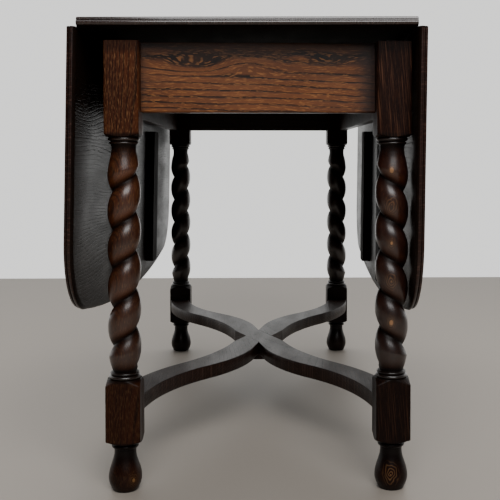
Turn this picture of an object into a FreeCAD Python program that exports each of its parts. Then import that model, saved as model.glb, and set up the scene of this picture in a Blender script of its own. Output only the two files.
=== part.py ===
import FreeCAD, Part
import Sketcher
import math
import os
import re

# Drop-leaf dining table in oak: four barley-twist legs, two end rails and two side rails tenoned into
# them, a half-lapped serpentine stretcher, and a top that turns on a bolt in the middle of a cross rail.
# The two leaves hang on butt hinges. Origin on the floor under the bolt, +Y along the table, +Z up.

Vector = FreeCAD.Vector
doc = FreeCAD.newDocument("DropLeafTable")
sheet = doc.addObject("Spreadsheet::Sheet", "Sizes")

# Every size in millimetres, every angle in degrees. A text value is worked out from the sizes above it.
SIZES = [
    # The closed top sets where the legs stand: the leaves must hang clear of them
    ("top_width", 527),
    ("top_length", 1120),
    ("leaf_clearance", 20.5),
    ("end_overhang", 31.5),
    # Legs: square blocks with turned and twisted lengths between them
    ("leg_height", 720),
    ("leg_size", 55),
    ("leg_span_x", "=top_width - leg_size - 2 * leaf_clearance"),
    ("leg_span_y", "=top_length - leg_size - 2 * end_overhang"),
    ("upper_block_bottom", 567),
    ("lower_block_top", 182.5),
    ("lower_block_bottom", 76.5),
    ("round_shoulder_rise", 10),
    ("slight_shoulder_rise", 7),
    ("leg_half", "=leg_size / 2"),
    ("leg_x", "=leg_span_x / 2"),
    ("leg_y", "=leg_span_y / 2"),
    # Turned collars where the twist meets the blocks: a bead, a smaller ring and a neck
    ("bead_radius", 25.4),
    ("bead_height", 6),
    ("quirk_radius", 22),
    ("ring_radius", 23.4),
    ("ring_height", 5.5),
    ("neck_radius", 19.6),
    ("upper_neck_height", 11),
    ("lower_neck_height", 3),
    ("turning_overlap", 3),
    # Twist: one start, right-handed on the left legs and left-handed on the right legs
    ("ridge_radius", 26.5),
    ("groove_radius", 17.5),
    ("twist_pitch", 62),
    ("ridge_land", 16),
    ("groove_drop", 34),
    ("swell_rise", 36),
    ("cutter_overrun", 4),
    ("twist_top", "=upper_block_bottom - bead_height - ring_height - upper_neck_height"),
    ("twist_bottom", "=lower_block_top + bead_height + ring_height + lower_neck_height"),
    ("twist_turns", "=ceil((twist_top - twist_bottom) / twist_pitch)"),
    # Foot
    ("foot_base_radius", 20.5),
    ("foot_waist_radius", 22.6),
    ("foot_waist_height", 41),
    ("foot_bulge_bow_share", 0.25),
    ("foot_neck_radius", 17.5),
    ("foot_neck_height", 62),
    ("foot_neck_length", 5),
    ("foot_ring_radius", 21),
    ("foot_ring_rise", 3),
    # Rails
    ("rail_depth", 112),
    ("rail_thickness", 20),
    ("end_rail_setback", 30),
    ("side_rail_setback", 2),
    ("rail_edge_radius", 3),
    ("rail_bottom", "=leg_height - rail_depth"),
    ("tenon_thickness", 10),
    ("tenon_length", 27),
    ("tenon_haunch", 16),
    ("mortise_clearance", 0.1),
    ("mortise_end_clearance", 1),
    ("cut_overrun", 5),
    # Cross rail that carries the pivot, housed in the side rails
    ("pivot_rail_width", 90),
    ("pivot_rail_thickness", 22),
    ("housing_depth", 8),
    ("pivot_rail_half", "=leg_x + leg_half - side_rail_setback - rail_thickness + housing_depth"),
    # Serpentine stretcher: two pieces that cross in a half lap
    ("stretcher_thickness", 25),
    ("stretcher_bottom", 118.5),
    ("arm_end_width", 48),
    ("stretcher_tenon_width", 30),
    ("stretcher_tenon_thickness", 12),
    ("stretcher_tenon_length", 22),
    ("waist_half", 28),
    ("lap_reach", 64),
    ("horn_x", 53.5),
    ("horn_y", 58),
    ("neck_x", 13),
    ("neck_y", 125),
    ("outer_turn_x_share", 0.696),
    ("outer_turn_y_share", 0.503),
    ("inner_turn_x_share", 0.441),
    ("inner_turn_y_share", 0.539),
    ("arm_root_bow_share", 0.158),
    ("arm_root_inner_bow_share", 0.165),
    ("arm_tip_bow_share", 0.12),
    ("neck_bow_share", 0.13),
    ("centre_block_length", 90),
    ("centre_block_depth", 17),
    ("arm_start_y", "=leg_y - leg_half"),
    # Top, leaves and the boards below them
    ("board_thickness", 15),
    ("top_turn", 1.77),
    ("bearing_gap", 0.4),
    ("bearer_thickness", 18),
    ("bearer_width", 60),
    ("bearer_inset", 13.5),
    ("bearer_length", "=top_width - 2 * bearer_inset"),
    ("bearer_place_share", 0.156),
    ("bearer_offset", "=top_length * bearer_place_share"),
    ("bearer_edge_radius", 4),
    ("edge_quirk", 1.5),
    ("edge_upper_radius", 4),
    ("edge_lower_radius", 3),
    ("underside", "=leg_height + bearing_gap + bearer_thickness"),
    # Leaves
    ("leaf_depth", 490),
    ("leaf_bow_radius", 3120),
    ("leaf_corner_radius", 122),
    ("leaf_gap", 0.35),
    ("left_leaf_lean", 1.2),
    ("right_leaf_lean", -0.7),
    ("batten_drop", 12),
    ("batten_margin", 41),
    ("batten_corner_radius", 10),
    # Hinges
    ("hinge_place_share", 0.32),
    ("hinge_offset", "=top_length * hinge_place_share"),
    ("hinge_length", 60),
    ("hinge_width", 30),
    ("hinge_plate", 2),
    ("barrel_radius", 3.5),
    ("pin_radius", 1.5),
    ("pin_clearance", 0.15),
    ("pin_drop", 0.15),
    ("knuckle_gap", 0.3),
    ("knuckle_count", 3),
    ("gain_clearance", 0.4),
    ("pin_x", "=top_width / 2 + leaf_gap / 2"),
    ("pin_z", "=underside - pin_drop"),
    ("leaf_face", "=pin_x + pin_drop"),
    ("leaf_head", "=pin_z - leaf_gap / 2"),
    ("leaf_foot", "=leaf_head - leaf_depth"),
    # Pivot under the middle of the top
    ("cleat_size", 120),
    ("bolt_radius", 6),
    ("bolt_clearance", 0.3),
    ("bolt_head_across", 19),
    ("bolt_head_height", 7.5),
    ("bolt_tail", 6),
    ("washer_radius", 15),
    ("washer_thickness", 2.5),
    ("nut_height", 10),
]


def fill_sheet():
    """Writes each size as a row: its name, then the value under that alias."""
    for row, (name, size) in enumerate(SIZES, start=1):
        sheet.set("A%d" % row, name)
        sheet.set("B%d" % row, str(size))
        sheet.setAlias("B%d" % row, name)
    doc.recompute()


NAMES = {name for name, size in SIZES}


def bound(text):
    """Turns an expression in plain size names into one that reads the sheet."""
    return re.sub(r"\b(%s)\b" % "|".join(NAMES), r"Sizes.\1", text)


def number(text):
    """The present value of an expression in size names."""
    return float(sheet.evalExpression(bound(text)))


def facing(side, low, high):
    """The interval low..high measured towards a side, +1 or -1, as a pair in rising order."""
    return (low, high) if side > 0 else ("-(%s)" % high, "-(%s)" % low)


def centred(width):
    """An interval of a given width about zero."""
    return ("-(%s) / 2" % width, "(%s) / 2" % width)


def rectangle(x, y):
    """Corners of a rectangle between two intervals."""
    return [(x[0], y[0]), (x[1], y[0]), (x[1], y[1]), (x[0], y[1])]


def turned(corners):
    """The same corners turned half a circle about the origin."""
    return [("-(%s)" % corner[0], "-(%s)" % corner[1]) + corner[2:] for corner in corners]


# Sketches and features


def new_body(name):
    body = doc.addObject("PartDesign::Body", name)
    body.Label = name
    return body


def arc_middle(start, end, bow):
    """Halfway point of an arc. Its rise is the share bow of half its chord, to the right if positive."""
    across = end - start
    return (start + end) / 2 + Vector(across.y, -across.x, 0) / 2 * bow


def add_loop(sketch, corners):
    """Draws a closed outline. A corner is (x, y) before a straight edge, or (x, y, bow) before an arc."""
    places = [Vector(number(corner[0]), number(corner[1]), 0) for corner in corners]
    ends = []
    for i, corner in enumerate(corners):
        start, end = places[i], places[(i + 1) % len(places)]
        if len(corner) == 2:
            index = sketch.addGeometry(Part.LineSegment(start, end), False)
            ends.append((index, 1, 2))
            continue
        bow = number(corner[2])
        index = sketch.addGeometry(Part.Arc(start, arc_middle(start, end, bow), end), False)
        ends.append((index, 1, 2) if bow > 0 else (index, 2, 1))
    for i, corner in enumerate(corners):
        index, first, last = ends[i]
        following = ends[(i + 1) % len(ends)]
        sketch.addConstraint(Sketcher.Constraint("Coincident", index, last, following[0], following[1]))
        bind(sketch, Sketcher.Constraint("DistanceX", -1, 1, index, first, places[i].x), corner[0])
        bind(sketch, Sketcher.Constraint("DistanceY", -1, 1, index, first, places[i].y), corner[1])
        if len(corner) > 2:
            after = corners[(i + 1) % len(corners)]
            chord = "sqrt((%s - (%s))^2 + (%s - (%s))^2)" % (after[0], corner[0], after[1], corner[1])
            radius = "%s / 4 * (abs(%s) + 1 / abs(%s))" % (chord, corner[2], corner[2])
            bind(sketch, Sketcher.Constraint("Radius", index, number(radius)), radius)


def add_ring(sketch, x, y, radius):
    """Draws a circle."""
    circle = Part.Circle(Vector(number(x), number(y), 0), Vector(0, 0, 1), number(radius))
    index = sketch.addGeometry(circle, False)
    bind(sketch, Sketcher.Constraint("Radius", index, number(radius)), radius)
    bind(sketch, Sketcher.Constraint("DistanceX", -1, 1, index, 3, number(x)), x)
    bind(sketch, Sketcher.Constraint("DistanceY", -1, 1, index, 3, number(y)), y)


def bind(sketch, constraint, text):
    """Adds a dimension and ties it to the sheet."""
    index = sketch.addConstraint(constraint)
    sketch.setExpression("Constraints[%d]" % index, bound(text))


def new_sketch(body, name, role, offset="0"):
    """A sketch on one of the body's own origin planes, moved along its normal by offset."""
    sketch = body.newObject("Sketcher::SketchObject", name)
    plane = [item for item in body.Origin.OriginFeatures if item.Role == role][0]
    sketch.AttachmentSupport = [(plane, "")]
    sketch.MapMode = "FlatFace"
    sketch.setExpression("AttachmentOffset.Base.z", bound(offset))
    return sketch


def extrude(body, kind, name, sketch, length, reverse=False):
    """A Pad or Pocket of a sketch. Reversed, a pad goes against the sketch's normal and a pocket along it."""
    feature = body.newObject("PartDesign::" + kind, name)
    feature.Profile = sketch
    feature.setExpression("Length", bound(length))
    feature.Reversed = reverse
    return feature


def block(body, name, x, y, z):
    """A rectangular pad between three intervals."""
    sketch = new_sketch(body, name + "_plan", "XY_Plane", z[0])
    add_loop(sketch, rectangle(x, y))
    return extrude(body, "Pad", name, sketch, "%s - (%s)" % (z[1], z[0]))


def slot(body, name, x, y, z):
    """A rectangular pocket between three intervals."""
    sketch = new_sketch(body, name + "_plan", "XY_Plane", z[0])
    add_loop(sketch, rectangle(x, y))
    return extrude(body, "Pocket", name, sketch, "%s - (%s)" % (z[1], z[0]), reverse=True)


def lathe(body, kind, name, loops):
    """A Revolution or Groove of outlines in radius and height about the body's vertical axis."""
    sketch = new_sketch(body, name + "_profile", "XZ_Plane")
    for corners in loops:
        add_loop(sketch, corners)
    feature = body.newObject("PartDesign::" + kind, name)
    feature.Profile = sketch
    feature.ReferenceAxis = (sketch, ["V_Axis"])
    feature.Angle = 360
    return feature


def ease(body, kind, name, size, chosen):
    """A Fillet or Chamfer of a size on the edges of the present solid that pass a test."""
    doc.recompute()
    base = body.Tip
    names = ["Edge%d" % (i + 1) for i, edge in enumerate(base.Shape.Edges) if chosen(edge)]
    feature = body.newObject("PartDesign::" + kind, name)
    feature.Base = (base, names)
    feature.setExpression("Radius" if kind == "Fillet" else "Size", bound(size))
    return feature


# Legs


def leg(name, x_side, y_side):
    """A leg centred on its own axis. The end rail and the stretcher meet its inner faces."""
    body = new_body(name)
    body.setExpression("Placement.Base.x", bound("%d * leg_x" % x_side))
    body.setExpression("Placement.Base.y", bound("%d * leg_y" % y_side))

    # The twist starts as a round blank that swells out of a neck at each end
    blank = [
        ("0", "twist_bottom"),
        ("neck_radius", "twist_bottom"),
        ("ridge_radius", "twist_bottom + swell_rise"),
        ("ridge_radius", "twist_top - swell_rise"),
        ("neck_radius", "twist_top"),
        ("0", "twist_top"),
    ]
    lathe(body, "Revolution", "twist_blank", [blank])
    twist_groove(body, x_side)

    lathe(body, "Revolution", "upper_collar", [collar("upper_block_bottom", -1, "twist_top")])
    lathe(body, "Revolution", "lower_collar", [collar("lower_block_top", 1, "twist_bottom")])
    square = centred("leg_size")
    block(body, "upper_block", square, square, ("upper_block_bottom", "leg_height"))
    block(body, "lower_block", square, square, ("lower_block_bottom", "lower_block_top"))
    foot = [
        ("0", "0"),
        ("foot_base_radius", "0", "foot_bulge_bow_share"),
        ("foot_waist_radius", "foot_waist_height"),
        ("foot_neck_radius", "foot_neck_height"),
        ("foot_neck_radius", "foot_neck_height + foot_neck_length"),
        ("foot_ring_radius", "foot_neck_height + foot_neck_length + foot_ring_rise"),
        ("foot_ring_radius", "lower_block_bottom + turning_overlap"),
        ("0", "lower_block_bottom + turning_overlap"),
    ]
    lathe(body, "Revolution", "foot", [foot])

    # The lathe runs a little into the corners of the blocks and leaves a sloping shoulder
    shoulders = [
        shoulder("quirk_radius", "upper_block_bottom", "upper_block_bottom + slight_shoulder_rise"),
        shoulder("quirk_radius", "lower_block_top", "lower_block_top - round_shoulder_rise"),
        shoulder("foot_ring_radius", "lower_block_bottom", "lower_block_bottom + slight_shoulder_rise"),
    ]
    lathe(body, "Groove", "shoulders", shoulders)

    # Mortises for the end rail, the side rail and the stretcher
    tall = ("rail_bottom + tenon_haunch - mortise_clearance", "leg_height - tenon_haunch + mortise_clearance")
    depth = ("leg_half - tenon_length - mortise_end_clearance", "leg_half + cut_overrun")
    for label, setback, along in (("end", "end_rail_setback", "x"), ("side", "side_rail_setback", "y")):
        cheek = "-leg_half + %s + (rail_thickness - tenon_thickness) / 2" % setback
        cheeks = (cheek + " - mortise_clearance", cheek + " + tenon_thickness + mortise_clearance")
        x = facing(-x_side, *(depth if along == "x" else cheeks))
        y = facing(-y_side, *(cheeks if along == "x" else depth))
        slot(body, label + "_mortise", x, y, tall)
    wide = centred("stretcher_tenon_width + 2 * mortise_clearance")
    inward = ("leg_half - stretcher_tenon_length - mortise_end_clearance", "leg_half + cut_overrun")
    cheek = "stretcher_bottom + (stretcher_thickness - stretcher_tenon_thickness) / 2"
    tall = (cheek + " - mortise_clearance", cheek + " + stretcher_tenon_thickness + mortise_clearance")
    slot(body, "stretcher_mortise", wide, facing(-y_side, *inward), tall)
    return body


def collar(level, way, end):
    """Outline of the turning between a block's end and the twist's end, as a bead, a ring and a neck."""
    ring_level = "%s + %d * bead_height" % (level, way)
    neck_level = "%s + %d * ring_height" % (ring_level, way)
    inside = "%s - %d * turning_overlap" % (level, way)
    return [
        ("0", inside),
        ("quirk_radius", inside),
        ("quirk_radius", level),
        ("bead_radius", "%s + %d * bead_height / 2" % (level, way)),
        ("quirk_radius", ring_level),
        ("ring_radius", "%s + %d * ring_height / 2" % (ring_level, way)),
        ("neck_radius", neck_level),
        ("neck_radius", end),
        ("0", end),
    ]


def shoulder(radius, level, rise):
    """Outline of the cut that slopes from a turned radius out to a block's corners."""
    return [(radius, level), ("leg_size", level), ("leg_size", rise), ("leg_half * sqrt(2)", rise)]


def twist_groove(body, x_side):
    """Cuts the single screw groove, so placed that both legs of an end have their ridges level inside."""
    half = "(twist_pitch - ridge_land) / 2"
    start = "(twist_top - groove_drop - (twist_turns + 1) * twist_pitch)"
    if x_side > 0:
        start = "(%s + twist_pitch / 2)" % start
    outside = "ridge_radius + cutter_overrun"
    flank = [(outside, half), ("ridge_radius", half)]
    corners = [(radius, "%s - %s" % (start, away)) for radius, away in flank]
    corners.append(("groove_radius", start))
    corners += [(radius, "%s + %s" % (start, away)) for radius, away in reversed(flank)]
    sketch = new_sketch(body, "groove_profile", "XZ_Plane")
    add_loop(sketch, corners)
    groove = body.newObject("PartDesign::SubtractiveHelix", "twist_groove")
    groove.Profile = sketch
    groove.ReferenceAxis = (sketch, ["V_Axis"])
    groove.Mode = "pitch-height-angle"
    groove.setExpression("Pitch", bound("twist_pitch"))
    groove.setExpression("Height", bound("(twist_turns + 3) * twist_pitch"))
    groove.LeftHanded = x_side > 0
    groove.Angle = 0
    return groove


# Rails


def rail(name, spacing, outward, setback, housed=False):
    """A rail along its own X, outer face towards -Y at zero, with a stub tenon at each end."""
    body = new_body(name)
    inward = -outward
    up = Vector(0, 0, 1)
    body.Placement = FreeCAD.Placement(Vector(), FreeCAD.Rotation(inward.cross(up), inward, up, "ZYX"))
    body.setExpression("Placement.Base.x", bound("%d * (leg_x + leg_half - %s)" % (outward.x, setback)))
    body.setExpression("Placement.Base.y", bound("%d * (leg_y + leg_half - %s)" % (outward.y, setback)))
    block(body, "board", centred(spacing), ("0", "rail_thickness"), ("rail_bottom", "leg_height"))
    cheek = "(rail_thickness - tenon_thickness) / 2"
    tall = ("rail_bottom + tenon_haunch", "leg_height - tenon_haunch")
    long = centred("%s + 2 * tenon_length" % spacing)
    block(body, "tenons", long, (cheek, cheek + " + tenon_thickness"), tall)
    if housed:
        wide = centred("pivot_rail_width")
        inner = ("rail_thickness - housing_depth", "rail_thickness + cut_overrun")
        slot(body, "housing", wide, inner, ("leg_height - pivot_rail_thickness", "leg_height + cut_overrun"))
    bottom = number("rail_bottom")
    ease(body, "Fillet", "worn_edge", "rail_edge_radius", lambda edge: lies(edge, y=0, z=bottom))
    return body


def lies(edge, **level):
    """True for an edge whose two ends have the coordinates given by name."""
    near = number("bearing_gap") / 10
    ends = [vertex.Point for vertex in edge.Vertexes]
    if len(ends) != 2:
        return False
    return all(abs(getattr(end, axis) - at) < near for end in ends for axis, at in level.items())


def runs_across(edge):
    """True for an edge that runs straight along X."""
    near = number("bearing_gap") / 10
    start, end = edge.Vertexes[0].Point, edge.Vertexes[-1].Point
    return abs(start.y - end.y) < near and abs(start.z - end.z) < near


def pivot_rail():
    """The flat cross rail between the side rails, bored for the pivot bolt."""
    body = new_body("pivot_cross_rail")
    tall = ("leg_height - pivot_rail_thickness", "leg_height")
    block(body, "board", ("-pivot_rail_half", "pivot_rail_half"), centred("pivot_rail_width"), tall)
    bore(body, "bolt_hole", "bolt_radius + bolt_clearance", tall)
    return body


def bore(body, name, radius, z):
    """A round hole about the body's vertical axis."""
    sketch = new_sketch(body, name + "_plan", "XY_Plane", z[0])
    add_ring(sketch, "0", "0", radius)
    return extrude(body, "Pocket", name, sketch, "%s - (%s)" % (z[1], z[0]), reverse=True)


# Stretcher


def half_outline(side):
    """One arm of a stretcher piece, from the lap round the leg's end and back. Side is the arm's X side."""
    outer_x, inner_x = "leg_x + arm_end_width / 2", "leg_x - arm_end_width / 2"
    arm = [
        ("horn_x", "-horn_y", "arm_tip_bow_share"),
        ("leg_x * outer_turn_x_share", "-leg_y * outer_turn_y_share", "-arm_root_bow_share"),
        (outer_x, "-arm_start_y"),
        (inner_x, "-arm_start_y", "arm_root_inner_bow_share"),
        ("leg_x * inner_turn_x_share", "-leg_y * inner_turn_y_share", "-neck_bow_share"),
        ("neck_x", "-neck_y"),
        ("0", "-lap_reach"),
    ]
    if side > 0:
        return arm
    return [("-(%s)" % corner[0], corner[1]) + tuple("-(%s)" % bow for bow in corner[2:]) for corner in arm]


def stretcher(name, side, lapped_over):
    """A stretcher piece whose front arm goes to the given side. The upper piece laps over the lower."""
    body = new_body(name)
    arm = half_outline(side)
    waist = ("%d * waist_half" % side, "0")
    far_waist = ("%d * waist_half" % -side, "0")
    corners = [waist] + arm + [far_waist] + turned(arm)
    middle = "stretcher_bottom + stretcher_thickness / 2"
    sketch = new_sketch(body, "outline", "XY_Plane", "stretcher_bottom")
    add_loop(sketch, corners)
    extrude(body, "Pad", "board", sketch, "stretcher_thickness")
    cheek = "stretcher_bottom + (stretcher_thickness - stretcher_tenon_thickness) / 2"
    tall = (cheek, cheek + " + stretcher_tenon_thickness")
    for label, way in (("front_tenon", -1), ("back_tenon", 1)):
        low = "%d * leg_x - stretcher_tenon_width / 2" % (-side * way)
        wide = (low, low + " + stretcher_tenon_width")
        deep = facing(way, "arm_start_y - stretcher_tenon_thickness", "arm_start_y + stretcher_tenon_length")
        block(body, label, wide, deep, tall)
    lap = [("-waist_half", "0"), ("0", "-lap_reach"), ("waist_half", "0"), ("0", "lap_reach")]
    sketch = new_sketch(body, "lap_plan", "XY_Plane", middle)
    add_loop(sketch, lap)
    extrude(body, "Pocket", "half_lap", sketch, "stretcher_thickness / 2", reverse=not lapped_over)
    return body


def stretcher_block():
    """The block glued under the crossing, as wide as the crossing's waist."""
    body = new_body("stretcher_block")
    long = centred("centre_block_length")
    tall = ("stretcher_bottom - centre_block_depth", "stretcher_bottom")
    block(body, "block", ("-waist_half", "waist_half"), long, tall)
    return body


# Top


def turned_body(name):
    """A body of the top or a leaf, turned about the pivot as the top stands."""
    body = new_body(name)
    angle = -number("top_turn")
    body.Placement = FreeCAD.Placement(Vector(), FreeCAD.Rotation(Vector(0, 0, 1), angle))
    return body


def cut_gain(body, name, side, end):
    """Clears the barrel of a hinge from the edge of the top or the leaf."""
    low = "%d * hinge_offset - hinge_length / 2 - gain_clearance" % end
    sketch = new_sketch(body, name + "_profile", "XZ_Plane", "-(%s)" % low)
    add_ring(sketch, "%d * pin_x" % side, "pin_z", "barrel_radius + gain_clearance")
    extrude(body, "Pocket", name, sketch, "hinge_length + 2 * gain_clearance")


ENDS = (("front", -1), ("back", 1))
SIDES = (("left", -1), ("right", 1))


def along_hinge(end):
    """The interval of a hinge along the joint."""
    return ("%d * hinge_offset - hinge_length / 2" % end, "%d * hinge_offset + hinge_length / 2" % end)


def top_board():
    """The fixed middle of the top, with gains for four hinges and moulded ends."""
    body = turned_body("top_board")
    tall = ("underside", "underside + board_thickness")
    block(body, "board", centred("top_width"), centred("top_length"), tall)
    end_y = number("top_length / 2")
    low = number("underside")
    for label, end in ENDS:
        y = facing(end, "top_length / 2 - edge_quirk - edge_upper_radius", "top_length / 2 + cut_overrun")
        z = ("underside + board_thickness - edge_quirk", "underside + board_thickness + cut_overrun")
        slot(body, label + "_quirk", centred("top_width + 2 * cut_overrun"), y, z)
    step = number("underside + board_thickness - edge_quirk")
    ease(body, "Fillet", "upper_moulding", "edge_upper_radius", lambda edge: ends_at(edge, end_y, step))
    ease(body, "Fillet", "lower_moulding", "edge_lower_radius", lambda edge: ends_at(edge, end_y, low))
    for side_name, side in SIDES:
        for end_name, end in ENDS:
            hinge = "%s_%s" % (side_name, end_name)
            x = facing(side, "pin_x - hinge_width", "top_width / 2 + cut_overrun")
            slot(body, hinge + "_recess", x, along_hinge(end), ("underside", "underside + hinge_plate"))
            cut_gain(body, hinge + "_gain", side, end)
    return body


def ends_at(edge, y, z):
    """True for an edge across either end of the top at a height."""
    return lies(edge, y=y, z=z) or lies(edge, y=-y, z=z)


def bearer(name, end):
    """A cross bearer under the top. It rests on the side rails and keeps the top level with the battens."""
    body = turned_body(name)
    y = ("%d * bearer_offset - bearer_width / 2" % end, "%d * bearer_offset + bearer_width / 2" % end)
    block(body, "board", centred("bearer_length"), y, ("leg_height + bearing_gap", "underside"))
    bottom = number("leg_height + bearing_gap")
    half = number("bearer_length / 2")
    for way, x in (("left", -half), ("right", half)):
        ease(body, "Fillet", way + "_eased_end", "bearer_edge_radius", lambda edge: lies(edge, x=x, z=bottom))
    return body


def pivot_cleat():
    """The block under the middle of the top that holds the head of the pivot bolt."""
    body = turned_body("pivot_cleat")
    size = centred("cleat_size")
    block(body, "board", size, size, ("leg_height + bearing_gap", "underside"))
    bore(body, "bolt_hole", "bolt_radius + bolt_clearance", ("leg_height + bearing_gap", "underside"))
    recess = new_sketch(body, "head_recess_plan", "XY_Plane", "underside - bolt_head_height - bearing_gap")
    add_loop(recess, hexagon("bolt_head_across + bolt_clearance"))
    extrude(body, "Pocket", "head_recess", recess, "bolt_head_height + bearing_gap", reverse=True)
    return body


def hexagon(across):
    """Corners of a hexagon given its width across flats."""
    flat = "(%s) / 2" % across
    corner = "(%s) / sqrt(3)" % across
    return [
        (corner, "0"),
        (corner + " / 2", flat),
        ("-%s / 2" % corner, flat),
        ("-%s" % corner, "0"),
        ("-%s / 2" % corner, "-%s" % flat),
        (corner + " / 2", "-%s" % flat),
    ]


def pivot_bolt():
    """A hexagon-headed bolt, head up in the cleat, shank down through the cross rail."""
    body = turned_body("pivot_bolt")
    bottom = "leg_height - pivot_rail_thickness - bearing_gap - washer_thickness - nut_height - bolt_tail"
    head = new_sketch(body, "head_plan", "XY_Plane", "underside - bolt_head_height - bearing_gap / 2")
    add_loop(head, hexagon("bolt_head_across"))
    extrude(body, "Pad", "head", head, "bolt_head_height")
    shank = new_sketch(body, "shank_plan", "XY_Plane", bottom)
    add_ring(shank, "0", "0", "bolt_radius")
    extrude(body, "Pad", "shank", shank, "underside - bolt_head_height / 2 - (%s)" % bottom)
    return body


def pivot_washer():
    """The washer between the cross rail and the nut."""
    body = turned_body("pivot_washer")
    high = "leg_height - pivot_rail_thickness - bearing_gap"
    sketch = new_sketch(body, "plan", "XY_Plane", high + " - washer_thickness")
    add_ring(sketch, "0", "0", "washer_radius")
    add_ring(sketch, "0", "0", "bolt_radius + pin_clearance")
    extrude(body, "Pad", "ring", sketch, "washer_thickness")
    return body


def pivot_nut():
    """The nut on the bolt's lower end."""
    body = turned_body("pivot_nut")
    high = "leg_height - pivot_rail_thickness - bearing_gap - washer_thickness"
    sketch = new_sketch(body, "plan", "XY_Plane", high + " - nut_height")
    add_loop(sketch, hexagon("bolt_head_across"))
    add_ring(sketch, "0", "0", "bolt_radius")
    extrude(body, "Pad", "nut", sketch, "nut_height")
    return body


# Leaves


def lean_of(side):
    """How a leaf stands off the upright at rest, as a turn about +Y. The sheet has it positive outwards."""
    lean = number("left_leaf_lean" if side < 0 else "right_leaf_lean")
    return FreeCAD.Rotation(Vector(0, 1, 0), -side * lean)


def hung_body(name, side):
    """A body of a leaf, leaning about its hinge pins and turned with the top."""
    body = turned_body(name)
    pin = Vector(side * number("pin_x"), 0, number("pin_z"))
    body.Placement = body.Placement.multiply(FreeCAD.Placement(Vector(), lean_of(side), pin))
    return body


def leaf_corners():
    """The leaf's outline in length and height, with its bowed foot and round corners, as plain numbers."""
    half, radius, bow = number("top_length / 2"), number("leaf_corner_radius"), number("leaf_bow_radius")
    bow_centre = number("leaf_foot + leaf_bow_radius")
    centre_y = half - radius
    centre_z = bow_centre - math.sqrt((bow - radius) ** 2 - centre_y**2)
    touch_y = centre_y * bow / (bow - radius)
    touch_z = bow_centre + (centre_z - bow_centre) * bow / (bow - radius)
    corner_bow = math.tan(math.atan2(centre_z - touch_z, touch_y - centre_y) / 4)
    foot_bow = math.tan(math.asin(touch_y / bow) / 2)
    head = number("leaf_head")
    return [
        (-half, head),
        (-half, centre_z, corner_bow),
        (-touch_y, touch_z, foot_bow),
        (touch_y, touch_z, corner_bow),
        (half, centre_z),
        (half, head),
    ]


def leaf(name, side):
    """A hanging leaf, inner face in line with the edge of the top, moulded round its three free edges."""
    body = hung_body(name + "_leaf", side)
    sketch = new_sketch(body, "outline", "YZ_Plane", "%d * leaf_face" % side)
    add_loop(sketch, [tuple("%.9g" % size for size in corner) for corner in leaf_corners()])
    extrude(body, "Pad", "board", sketch, "board_thickness", reverse=side < 0)
    head = number("leaf_head")
    inner = ("inner_moulding", "leaf_face", "edge_lower_radius")
    outer = ("outer_moulding", "leaf_face + board_thickness", "edge_upper_radius")
    for label, plane, size in (inner, outer):
        x = side * number(plane)
        ease(body, "Chamfer", label, size, lambda edge: lies(edge, x=x) and not lies(edge, z=head))
    for end_name, end in ENDS:
        low = facing(side, "leaf_face - cut_overrun", "leaf_face + hinge_plate")
        z = ("pin_z - hinge_width", "leaf_head + cut_overrun")
        slot(body, end_name + "_recess", low, along_hinge(end), z)
        cut_gain(body, end_name + "_gain", side, end)
    return body


def batten(name, side, end):
    """A batten across a leaf's inner face. It clears the rail above and bears on the end rail when raised."""
    body = hung_body(name, side)
    sketch = new_sketch(body, "outline", "YZ_Plane", "%d * leaf_face" % side)
    y = ("%d * bearer_offset - bearer_width / 2" % end, "%d * bearer_offset + bearer_width / 2" % end)
    add_loop(sketch, rectangle(y, ("leaf_foot + batten_margin", "rail_bottom - batten_drop")))
    extrude(body, "Pad", "board", sketch, "bearer_thickness", reverse=side > 0)
    ease(body, "Fillet", "round_corners", "batten_corner_radius", runs_across)
    return body


# Hinges


def knuckles(parity):
    """Intervals along the pin of the barrel's knuckles of one plate, counted from the front."""
    pitch = "hinge_length / knuckle_count"
    count = int(number("knuckle_count"))
    found = []
    for i in range(parity, count, 2):
        low = "-hinge_length / 2 + %d * %s" % (i, pitch)
        found.append((low, "%s + %s" % (low, pitch)))
    return found


def hinge_plate(name, parity, pin, turn):
    """A hinge plate drawn about its pin, which lies along Y, with the plate towards -X on its upper side."""
    body = new_body(name)
    long = centred("hinge_length")
    block(body, "plate", ("-hinge_width", "0"), long, ("pin_drop", "pin_drop + hinge_plate"))
    barrel = new_sketch(body, "barrel_profile", "XZ_Plane", "-hinge_length / 2")
    add_ring(barrel, "0", "0", "barrel_radius")
    extrude(body, "Pad", "barrel", barrel, "hinge_length")
    eye = new_sketch(body, "eye_profile", "XZ_Plane", "hinge_length / 2 + cut_overrun")
    add_ring(eye, "0", "0", "pin_radius + pin_clearance")
    extrude(body, "Pocket", "eye", eye, "hinge_length + 2 * cut_overrun")
    reach = ("-barrel_radius - knuckle_gap", "barrel_radius + cut_overrun")
    tall = centred("2 * (barrel_radius + knuckle_gap)")
    for i, (low, high) in enumerate(knuckles(1 - parity)):
        span = (low + " - knuckle_gap / 2", high + " + knuckle_gap / 2")
        slot(body, "notch_%d" % (i + 1), reach, span, tall)
    body.Placement = FreeCAD.Placement(pin, turn)
    return body


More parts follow.
